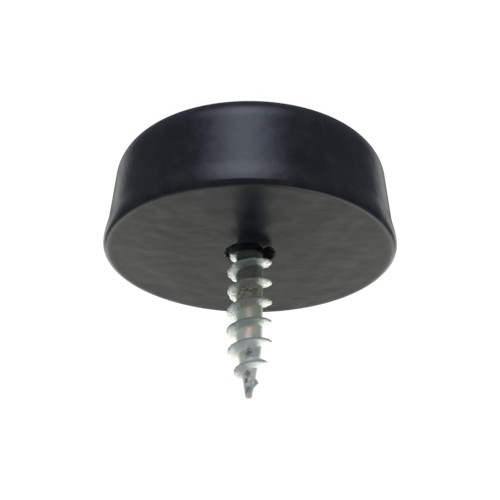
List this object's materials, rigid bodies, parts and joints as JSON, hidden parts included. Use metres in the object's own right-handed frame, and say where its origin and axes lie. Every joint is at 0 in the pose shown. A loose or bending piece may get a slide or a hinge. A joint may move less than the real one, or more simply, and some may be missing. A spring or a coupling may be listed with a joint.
{
  "type": "rubber foot with wood screw",
  "caption": "Round tapered rubber foot with a recessed steel washer and a pan head wood screw that stands out of its flat mounting face.",
  "frame": {"origin": "centre of the ground face, on the plane that the foot stands on", "axes": "+Z is the axis of the foot and points out of the mounting face along the screw towards its tip; the thread's crest crosses +X level with the mounting face"},
  "size_m": [0.038, 0.038, 0.0346],
  "materials": {
    "rubber": "satin black moulded rubber",
    "washer_steel": "zinc plated, dull",
    "zinc_steel": "zinc plated, slightly worn"
  },
  "bodies": {
    "root": {"rubber_body": "rubber", "washer": "washer_steel", "wood_screw": "zinc_steel"}
  },
  "joints": []
}
